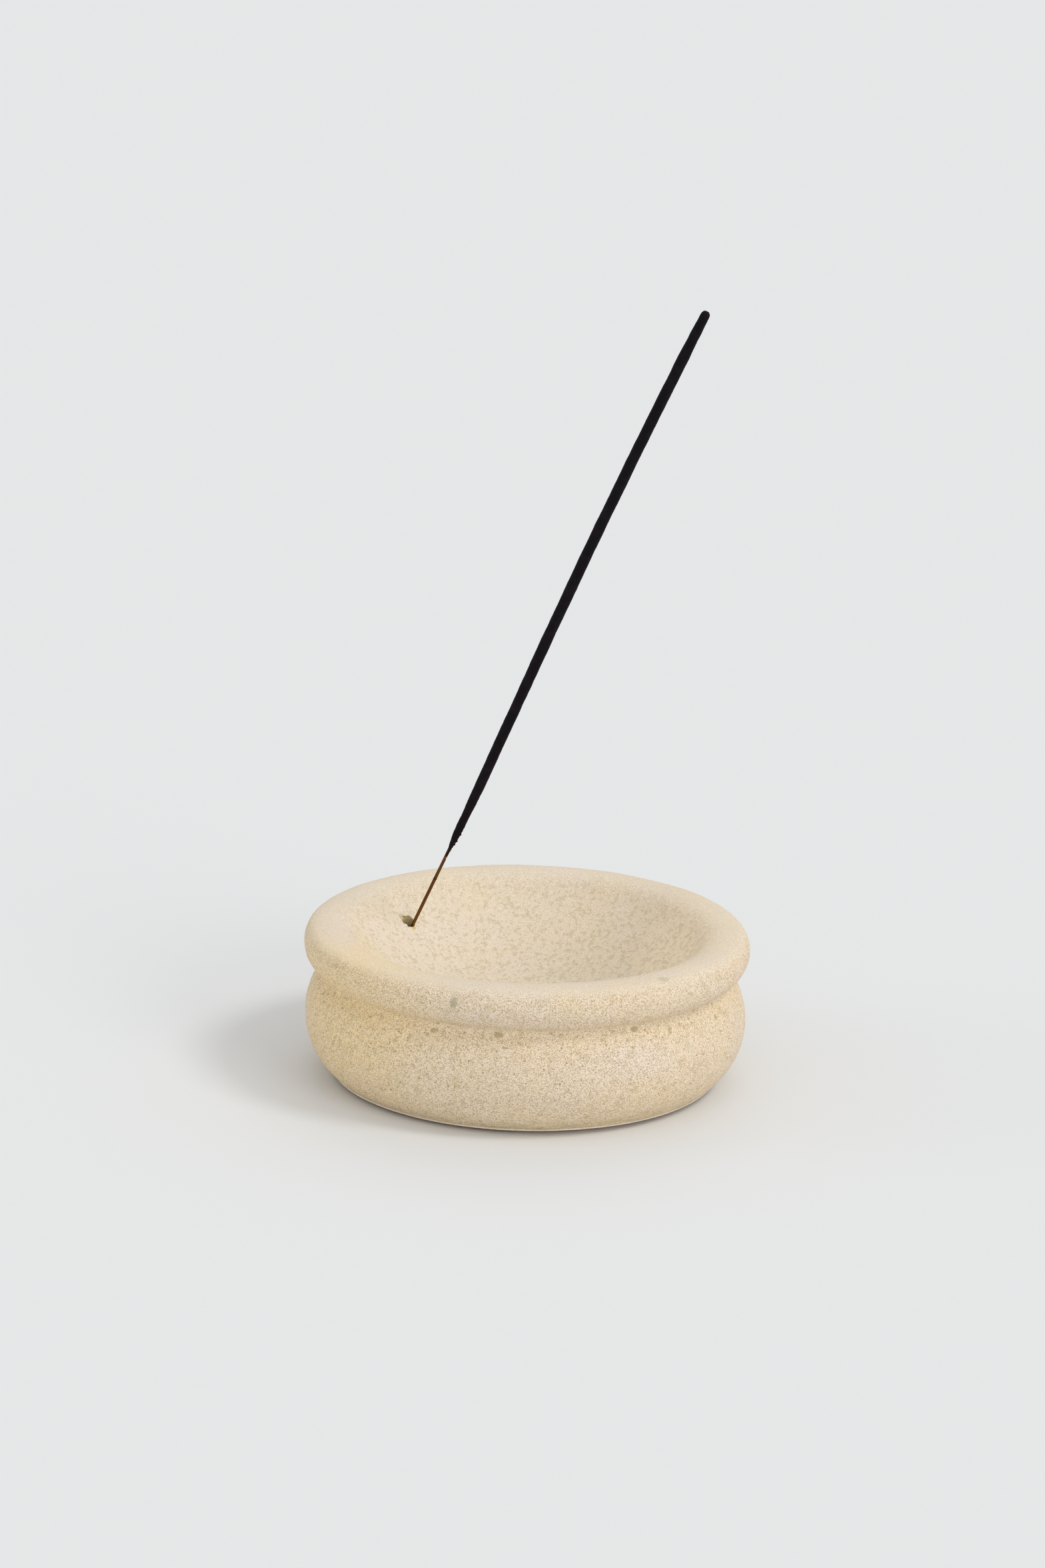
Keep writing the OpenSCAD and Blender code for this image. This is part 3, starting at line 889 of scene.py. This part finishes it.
# %% Crumbs that were smeared on where the paste starts
CRUMB_COUNT, CRUMB_FIRST, CRUMB_LAST, CROWDING = 16, 48.5, 58.0, 1.3
CRUMB_SPREAD, CRUMB_SMALLEST, CRUMB_LARGEST = 1.3, 0.14, 0.30
CRUMB_SINK, CRUMB_STRETCH = 0.35, 1.4
CRUMB_ROUGHNESS, CRUMB_GRAIN, NEXT_CRUMB = 0.4, 2.5, 2.7
crumb_turn = math.atan2(right_side.y, right_side.x)
shape = bmesh.new()
for number in range(CRUMB_COUNT):
    z = CRUMB_FIRST + (CRUMB_LAST - CRUMB_FIRST) * (number / CRUMB_COUNT) ** CROWDING
    angle = crumb_turn + lumpy.uniform(-CRUMB_SPREAD, CRUMB_SPREAD)
    size = lumpy.uniform(CRUMB_SMALLEST, CRUMB_LARGEST)
    out = paste_radius(z) - CRUMB_SINK * size
    middle = Vector((out * math.cos(angle), out * math.sin(angle), z)) * MM
    for vertex in bmesh.ops.create_icosphere(shape, subdivisions=2, radius=size * MM)["verts"]:
        grain_place = vertex.co / MM * CRUMB_GRAIN + Vector((number * NEXT_CRUMB, 0, 0))
        rough = 1 + CRUMB_ROUGHNESS * noise.noise(grain_place)
        long_lump = Vector((vertex.co.x, vertex.co.y, vertex.co.z * CRUMB_STRETCH)) * rough
        vertex.co = foot + stick_turn @ (middle + long_lump)
for face in shape.faces:
    face.smooth = True
crumbs = bpy.data.meshes.new("charcoal_crumbs")
shape.to_mesh(crumbs)
shape.free()
crumbs.materials.append(charcoal)
benched = crumbs.attributes.new("bench", "FLOAT_VECTOR", "POINT")
for vertex in crumbs.vertices:
    benched.data[vertex.index].vector = stick_turn.inverted() @ (vertex.co - foot)
crumb_object = collect(bpy.data.objects.new("charcoal_crumbs", crumbs))
print("crumbs:", CRUMB_COUNT)
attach(crumb_object, "stick")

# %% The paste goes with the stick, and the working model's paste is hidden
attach(paste, "stick")
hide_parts("incense_paste")

# %% [markdown]
# ## Floor, light and camera
# The set is a plain pale floor that runs past the view on every side. One soft light comes from
# high on the right and one almost as strong from low in front, with weaker ones from behind and
# from low on the left. An even pale sky fills the rest, so the shadow falls softly to the left.

# %% Floor
floor_paint, tree, shader = new_material("pale floor")
shader.inputs["Base Color"].default_value = (0.80, 0.805, 0.805, 1)
shader.inputs["Roughness"].default_value = 0.9
shader.inputs["Specular IOR Level"].default_value = 0.1
FLOOR_HALF, FLOOR_DROP = 9.0, 0.05 * MM
floor_mesh = bpy.data.meshes.new("floor")
corners = [(x * FLOOR_HALF, y * FLOOR_HALF, 0) for x, y in ((-1, -1), (1, -1), (1, 1), (-1, 1))]
floor_mesh.from_pydata(corners, [], [(0, 1, 2, 3)])
floor_mesh.materials.append(floor_paint)
floor = collect(bpy.data.objects.new("floor", floor_mesh))
floor.location.z = -FLOOR_DROP

# %% Light
def sun(name, strength, softness, turn, height):
    """A light from far away. Its turn is seen from above, from +X towards +Y."""
    data = bpy.data.lights.new(name, "SUN")
    data.energy = strength
    data.angle = math.radians(softness)
    flat = math.cos(math.radians(height))
    comes_from = Vector((flat * math.cos(math.radians(turn)), flat * math.sin(math.radians(turn)),
                         math.sin(math.radians(height))))
    light = collect(bpy.data.objects.new(name, data))
    light.rotation_euler = comes_from.to_track_quat("Z", "Y").to_euler()


sun("soft key", 0.76, 16, -22, 51)
sun("soft back light", 0.20, 40, 80, 50)
sun("low side light", 0.33, 30, 182, 10)
sun("wide front fill", 0.72, 28, -52, 19)

sky = bpy.data.worlds.new("even sky")
sky.use_nodes = True
sky.node_tree.nodes["Background"].inputs["Color"].default_value = (0.985, 0.993, 1.0, 1)
sky.node_tree.nodes["Background"].inputs["Strength"].default_value = 0.668
bpy.context.scene.world = sky
bpy.context.scene.view_settings.view_transform = "Standard"

# %% Camera
CAMERA_PLACE = Vector((0, -1.2515, 0.4281))
CAMERA_AIM = Vector((-0.0024, 0, 0.0804))
CAMERA_ROLL = math.radians(1.544)
camera_data = bpy.data.cameras.new("camera")
camera_data.lens = 111.97
camera_data.sensor_width = 36
camera_data.clip_end = 50
camera = collect(bpy.data.objects.new("camera", camera_data))
looking = (CAMERA_AIM - CAMERA_PLACE).to_track_quat("-Z", "Y").to_matrix().to_4x4()
camera.matrix_world = Matrix.Translation(CAMERA_PLACE) @ looking @ Matrix.Rotation(CAMERA_ROLL, 4, "Z")
bpy.context.scene.camera = camera
